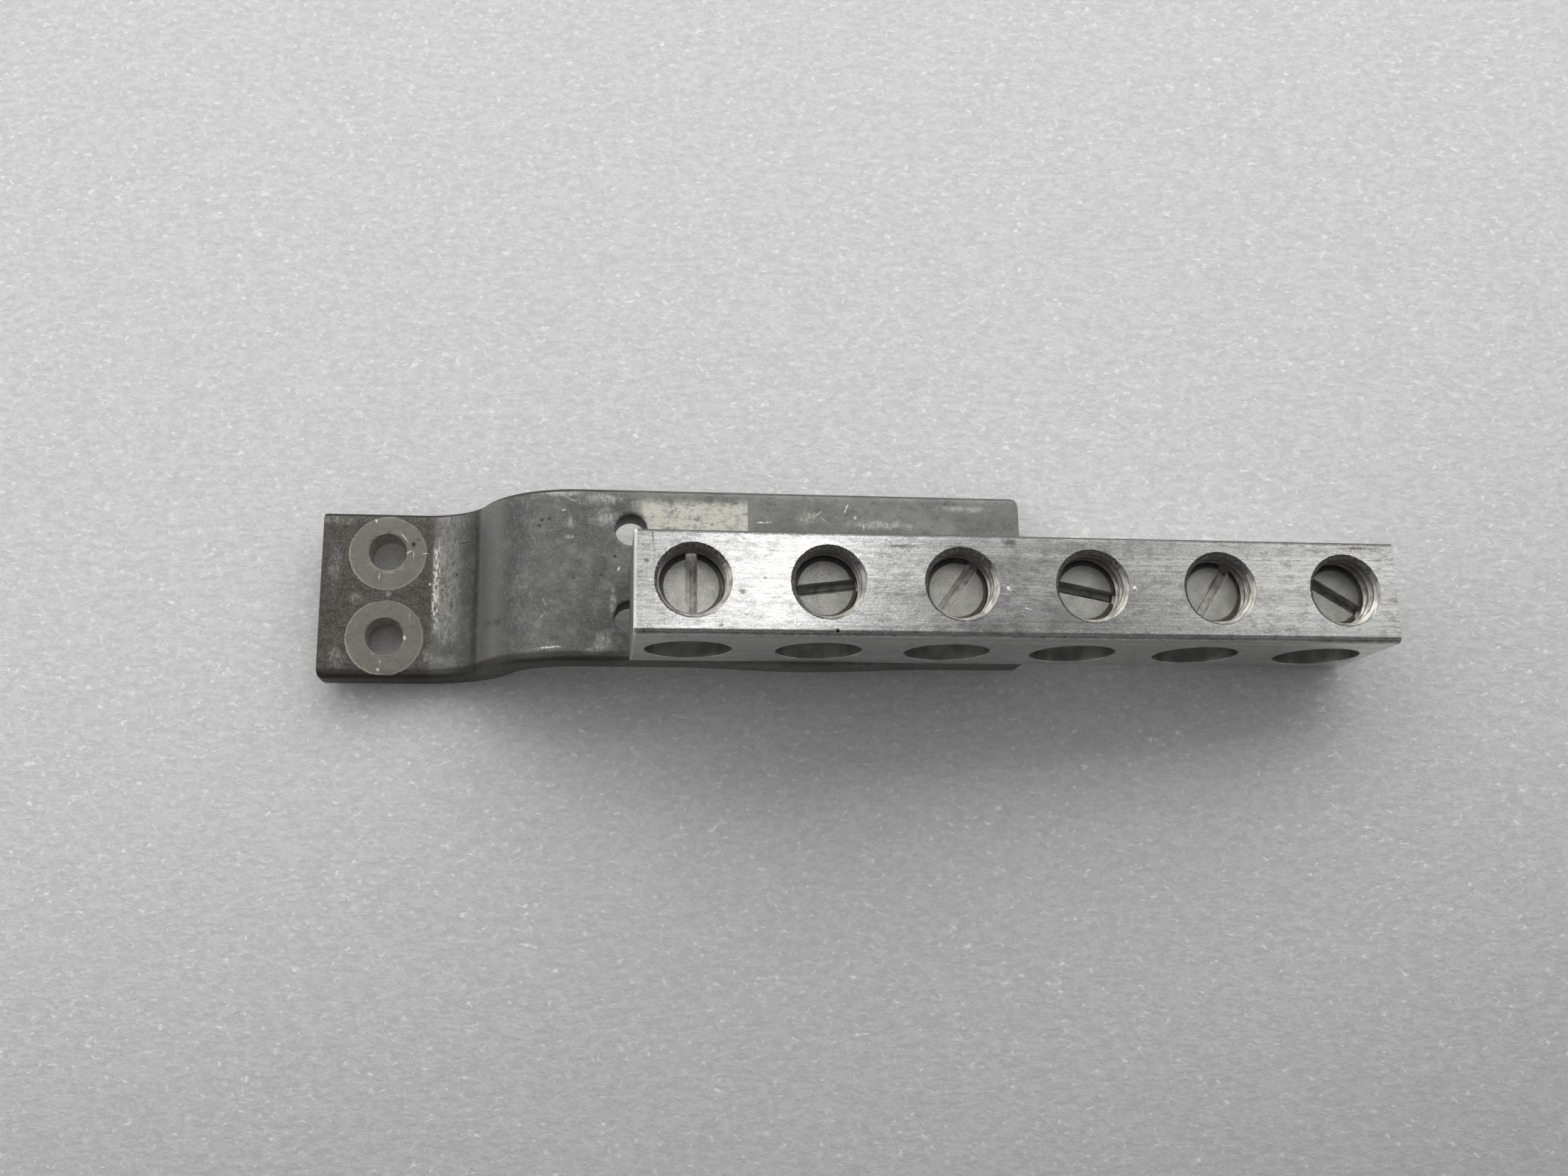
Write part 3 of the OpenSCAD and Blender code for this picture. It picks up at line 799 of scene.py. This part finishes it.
def bar_blank():
    """The bar before its holes are made, with a rounding of its own on each long edge."""
    arc_steps = 8
    corners = [(BAR_HIGH.y, BAR_LOW.z, BAR_BACK_R), (BAR_HIGH.y, BAR_HIGH.z, BAR_BACK_R),
               (BAR_LOW.y, BAR_HIGH.z, BAR_EDGE_R), (BAR_LOW.y, BAR_LOW.z, BAR_EDGE_R)]
    middle_y = (BAR_LOW.y + BAR_HIGH.y) / 2
    outline = []
    for quarter, (edge_y, edge_z, r) in enumerate(corners):
        y = edge_y - math.copysign(r, edge_y - middle_y)
        z = edge_z - math.copysign(r, edge_z - WIRE_Z)
        for i in range(arc_steps + 1):
            a = math.pi / 2 * (quarter - 1 + i / arc_steps)
            outline.append((y, z, r, math.cos(a), math.sin(a)))
    rows = [(BAR_LOW.x, BAR_END_CHAMFER), (BAR_LOW.x + BAR_END_CHAMFER, 0.0),
            (BAR_HIGH.x - BAR_END_CHAMFER, 0.0), (BAR_HIGH.x, BAR_END_CHAMFER)]
    verts = []
    for x, inset in rows:
        verts += [(x, y + (r - inset) * across, z + (r - inset) * up) for y, z, r, across, up in outline]
    bar = link("bar_body", verts, rings_to_faces(len(rows), len(outline)))
    outward(bar)
    return bar


def wire_hole(x):
    width = BAR_HIGH.y - BAR_LOW.y
    profile = [(WIRE_R + 3 * WIRE_RIM, -2 * WIRE_RIM), (WIRE_R, WIRE_RIM), (WIRE_R, width - WIRE_RIM),
               (WIRE_R + 3 * WIRE_RIM, width + 2 * WIRE_RIM)]
    return lathe("wire_hole", profile, (x, BAR_LOW.y, WIRE_Z), axis=(0, 1, 0))


def tap_mouth(x, y):
    """The lead-in cone and the torn chamfer at the top of a tapped hole."""
    profile = [(LEAD_IN_R, -LEAD_IN_DEPTH), (TAP_MAJOR_R - MOUTH_CHAMFER, 0.0),
               (TAP_MAJOR_R + MOUTH_CHAMFER, MOUTH_CHAMFER)]
    return lathe("mouth", profile, (x, y, BAR_HIGH.z), segments=240, ripple=MOUTH_RIPPLE)


def build_bar(skin, end, bore, thread, rim):
    """The bar with its wire holes, tapped holes and fixing holes."""
    bar = bar_blank()
    paint(bar, skin, end, bore, thread)
    for face in bar.data.polygons:
        face.material_index = 1 if abs(face.normal.x) > FACING else 0
    cutters = []
    for node in SCREW_NODES:
        x, y = middle(node)
        tap = threaded_rod("tap", (x, y), WIRE_Z, BAR_HIGH.z,
                           TAP_MAJOR_R, TAP_MINOR_R, TAP_CREST, TAP_ROOT)
        cutters += [(wire_hole(x), bore), (tap, thread), (tap_mouth(x, y), rim)]
    for node in FIX_NODES:
        profile = [(FIX_HOLE_R, -MM), (FIX_HOLE_R, FIX_HOLE_DEPTH)]
        cutters.append((lathe("fixing_hole", profile, (*middle(node), BAR_LOW.z)), bore))
    for cutter, material in cutters:
        paint(cutter, material)
    carve(bar, [cutter for cutter, material in cutters])
    crisp(bar)
    for face in bar.data.polygons:
        if face.material_index < 2 and max(abs(part) for part in face.normal) > FLAT:
            face.use_smooth = False
    place(bar, BODY, "bar_aluminium", "terminal_bar")


# ---------------------------------------------------------------- screws

def build_set_screw(number, node, turn, face, dark_finish, slot_metal):
    """A headless slotted screw: a thread inside a chamfered envelope, less its slot."""
    low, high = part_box(node)
    x, y = middle(node)
    major = (high.x - low.x) / 2
    outer = major + MM
    rod = threaded_rod(f"set_screw_{number}_body", (x, y), low.z, high.z,
                       SCREW_MAJOR_R, SCREW_MINOR_R, SCREW_CREST, SCREW_ROOT)
    paint(rod, face, dark_finish)
    rod.data.polygons.foreach_set("material_index", [1] * len(rod.data.polygons))
    envelope = lathe("envelope", [(SCREW_TIP_R, low.z), (outer, low.z + outer - SCREW_TIP_R),
                                  (outer, high.z - SCREW_CHAMFER * (outer - SCREW_FLAT_R)),
                                  (SCREW_FLAT_R, high.z)], (x, y, 0))
    paint(envelope, face, dark_finish)
    for polygon in envelope.data.polygons:
        polygon.material_index = 0 if abs(polygon.normal.z) > FACING else 1
    carve(rod, [envelope], "INTERSECT")
    half, lip, ledge = SLOT_W / 2, SLOT_LIP, SLOT_RISE - SLOT_DEPTH
    right = [(lip, -SLOT_DEPTH), (lip, ledge), (half, ledge),
             (half, -lip), (half + lip, 0.0), (half + lip, MM)]
    left = [(-across, up) for across, up in reversed(right)]
    slot = prism("slot", right + left, math.radians(turn), (x, y, high.z), 2 * major)
    paint(slot, slot_metal)
    carve(rod, [slot])
    crisp(rod, 28)
    for polygon in rod.data.polygons:
        if abs(polygon.normal.z) > FLAT:
            polygon.use_smooth = False
    place(rod, f"screw_{number}", "screw_steel", node)


def build_bar_screw(number, node, finish):
    """A flanged hexagon screw from below the strap up into the bar."""
    low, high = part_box(node)
    x, y = middle(node)
    flange_r = (high.x - low.x) / 2
    corner = FIX_HALF_HEX / math.cos(math.radians(30))
    head = lathe(f"bar_screw_{number}_body", [(corner, low.z), (corner, PLATE_Z - FIX_FLANGE_T / 2)],
                 (x, y, 0), segments=6)
    head.data.polygons.foreach_set("use_smooth", [False] * len(head.data.polygons))
    crown = lathe("crown", [(FIX_HALF_HEX - 0.3 * MM, low.z), (corner + MM, low.z + MM),
                            (corner + MM, PLATE_Z)], (x, y, 0))
    carve(head, [crown], "INTERSECT")
    flange = lathe("flange", [(FIX_HALF_HEX - 0.2 * MM, PLATE_Z - 1.5 * FIX_FLANGE_T),
                              (flange_r - 0.5 * MM, PLATE_Z - 0.9 * FIX_FLANGE_T),
                              (flange_r, PLATE_Z - 0.5 * FIX_FLANGE_T), (flange_r, PLATE_Z),
                              (FIX_SHANK_R, PLATE_Z), (FIX_SHANK_R, high.z)], (x, y, 0))
    carve(head, [flange], "UNION")
    paint(head, finish)
    crisp(head)
    place(head, BODY, "screw_steel", node)


# ---------------------------------------------------------------- floor, light and camera

def floor_foam():
    """Pale foam with a fine grain. Its colour carries painted shadow toward the front and painted light far
    from the part, where it fades out, and it is one-sided: from below, the part's underside shows."""
    s = Shader("floor_foam")
    x, y = s.split(s.mm)[:2]
    near = s.math("SUBTRACT", y, s.times(x, 0.2))
    far = s.length(s.vector("SUBTRACT", s.mm, FLOOR_SPOT))
    # shade: painted shadow over the front of the floor, and painted light far from the part
    shade = s.any_of([s.step(near, -300, 20, 0.42, 1.16), s.step(far, 250, 420, 0.3, 1.2)])
    wrinkles = s.noise((2.2, 1.2, 2.2), detail=4.0, rough=0.6, distortion=0.3)
    cells = s.noise((0.9, 0.6, 0.9), detail=3.0, rough=0.6, shift=(4, 7, 2))
    flakes_and_glints = s.noise((1.3, 0.9, 1.3), detail=2.0, rough=0.5, shift=(21, 3, 8), distortion=0.6)
    colour = s.blend(s.step(wrinkles, 0.36, 0.64), (0.62, 0.618, 0.614), (0.70, 0.698, 0.695))
    colour = s.blend(s.step(cells, 0.52, 0.70, 0.0, 0.5), colour, (0.80, 0.80, 0.80))
    colour = s.blend(s.step(flakes_and_glints, 0.58, 0.66, 0.0, 0.45), colour, (0.86, 0.86, 0.86))
    # The brightest flakes are painted glints.
    colour = s.blend(s.step(flakes_and_glints, 0.68, 0.73, 0.0, 0.8), colour, (1.0, 1.0, 1.0))
    colour = s.vector("MULTIPLY", colour, s.add("ShaderNodeCombineXYZ", {0: shade, 1: shade, 2: shade}))
    from_below = s.add("ShaderNodeNewGeometry", {}, out="Backfacing")
    from_above = s.math("SUBTRACT", 1.0, from_below)
    s.set(s.bsdf.inputs["Alpha"], s.times(s.step(far, *FLOOR_FADE, 1.0, 0.0), from_above))
    s.bsdf.subsurface_method = "BURLEY"
    s.bsdf.inputs["Subsurface Weight"].default_value = 0.8
    s.bsdf.inputs["Subsurface Radius"].default_value = (1.0, 1.0, 0.95)
    s.bsdf.inputs["Subsurface Scale"].default_value = 0.010
    return s.finish(colour, 0.5, s.bump(cells, 0.18, s.bump(wrinkles, 0.4)), 0.0)


def build_stage():
    """A round floor under the part, which lies on the heel of its lower bend and the bar's far end."""
    reach = math.hypot(BAR_HIGH.x - FOOT_FLAT, BEND_OUTER - BAR_LOW.z)
    tilt = math.asin(BEND_OUTER / reach) + math.atan2(BAR_LOW.z - BEND_OUTER, BAR_HIGH.x - FOOT_FLAT)
    centre = Vector((FOOT_FLAT + BEND_OUTER * math.sin(tilt), 0.0, BEND_OUTER * (1 - math.cos(tilt))))
    turn = Matrix.Rotation(-tilt, 3, "Y")
    segments = 96
    verts = [centre]
    for i in range(segments):
        a = 2 * math.pi * i / segments
        verts.append(centre + turn @ Vector((FLOOR_R * math.cos(a), FLOOR_R * math.sin(a), 0.0)))
    faces = [[0, 1 + i, 1 + (i + 1) % segments] for i in range(segments)]
    floor = link("floor", verts, faces, smooth=False)
    paint(floor, floor_foam())


def area_light(name, location, target, width, length, power):
    """A soft lamp of that width along X and length across it, in metres, aimed at target, in watts."""
    data = bpy.data.lights.new(name, "AREA")
    data.shape = "RECTANGLE"
    data.size = width
    data.size_y = length
    data.energy = power
    lamp = bpy.data.objects.new(name, data)
    lamp.location = location
    lamp.rotation_euler = (Vector(target) - Vector(location)).to_track_quat("-Z", "Y").to_euler()
    lamp.visible_camera = False
    bpy.context.scene.collection.objects.link(lamp)


def build_world():
    """A grey room, paler at its back and toward its horizon than in front and overhead."""
    world = bpy.data.worlds.new("studio")
    bpy.context.scene.world = world
    world.use_nodes = True
    tree = world.node_tree
    coords = tree.nodes.new("ShaderNodeTexCoord")
    split = tree.nodes.new("ShaderNodeSeparateXYZ")
    ramp = tree.nodes.new("ShaderNodeValToRGB")
    depth = tree.nodes.new("ShaderNodeMapRange")
    lit = tree.nodes.new("ShaderNodeBackground")
    tree.links.new(coords.outputs["Generated"], split.inputs[0])
    tree.links.new(split.outputs["Z"], ramp.inputs[0])
    tree.links.new(split.outputs["Y"], depth.inputs["Value"])
    for key, value in (("From Min", -1.0), ("From Max", 0.6), ("To Min", 0.37), ("To Max", 1.2)):
        depth.inputs[key].default_value = value
    ramp.color_ramp.elements.new(0.9)
    for element, height, level in zip(ramp.color_ramp.elements, (0.0, 0.6, 0.9), (0.56, 0.36, 0.17)):
        element.position = height
        element.color = (level, level, level * 1.02, 1.0)
    tree.links.new(ramp.outputs[0], lit.inputs["Color"])
    tree.links.new(depth.outputs[0], lit.inputs["Strength"])
    tree.links.new(lit.outputs[0], tree.nodes["World Output"].inputs["Surface"])


def build_light():
    """The room, a wide window behind the part and three small lamps."""
    build_world()
    area_light("window", (0.03, 0.55, 0.60), (0.05, 0.0, 0.0), 1.50, 0.60, 5.0)
    area_light("strip", (0.111, 0.09, 0.45), (0.065, 0.0, 0.05), 0.05, 0.26, 0.10)
    area_light("fill", (0.48, 0.12, 0.42), (0.16, 0.0, 0.05), 0.20, 0.40, 0.14)
    area_light("side", (-0.30, 0.05, 0.30), (0.05, 0.0, 0.02), 0.20, 0.20, 0.22)


def build_camera():
    data = bpy.data.cameras.new("camera")
    data.sensor_width = 36.0
    data.lens = 35.80
    data.clip_start = 0.01
    camera = bpy.data.objects.new("camera", data)
    camera.location = (0.03743, -0.06647, 0.29428)
    camera.rotation_euler = (math.radians(13.441), math.radians(-7.109), math.radians(-0.754))
    bpy.context.scene.collection.objects.link(camera)
    bpy.context.scene.camera = camera


def build_all():
    face = screw_finish("screw_plated", 0.46)
    # pale: a paler copy of the plated finish, for screw 1's face, as painted light
    pale = screw_finish("screw_plated_painted_lit", 0.62)
    dark_finish = screw_dark_finish()
    # The slot metal comes in two copies: a pale one as painted light for screws 1, 3 and 5, whose slots lie
    # toward the light, and a dark one as painted shade for screws 2, 4 and 6.
    lit_slot = slot_cut("slot_painted_lit", (0.58, 0.57, 0.52), (0.95, 0.94, 0.90))
    dull = slot_cut("slot_painted_shaded", (0.26, 0.26, 0.245), (0.52, 0.515, 0.48))
    build_strap(StrapFinish().build())
    build_bar(extruded_skin(), sawn_end(), drilled_bore(), cut_thread(), hole_rim())
    faces = [pale, face, face, face, face, face]
    slots = [lit_slot, dull, lit_slot, dull, lit_slot, dull]
    for i, node in enumerate(SCREW_NODES):
        build_set_screw(i + 1, node, SLOT_TURNS[i], faces[i], dark_finish, slots[i])
    for i, node in enumerate(FIX_NODES):
        build_bar_screw(i + 1, node, face)
    build_stage()
    build_light()
    build_camera()


bpy.context.scene.view_settings.view_transform = "Standard"
build_all()
bpy.context.view_layer.update()
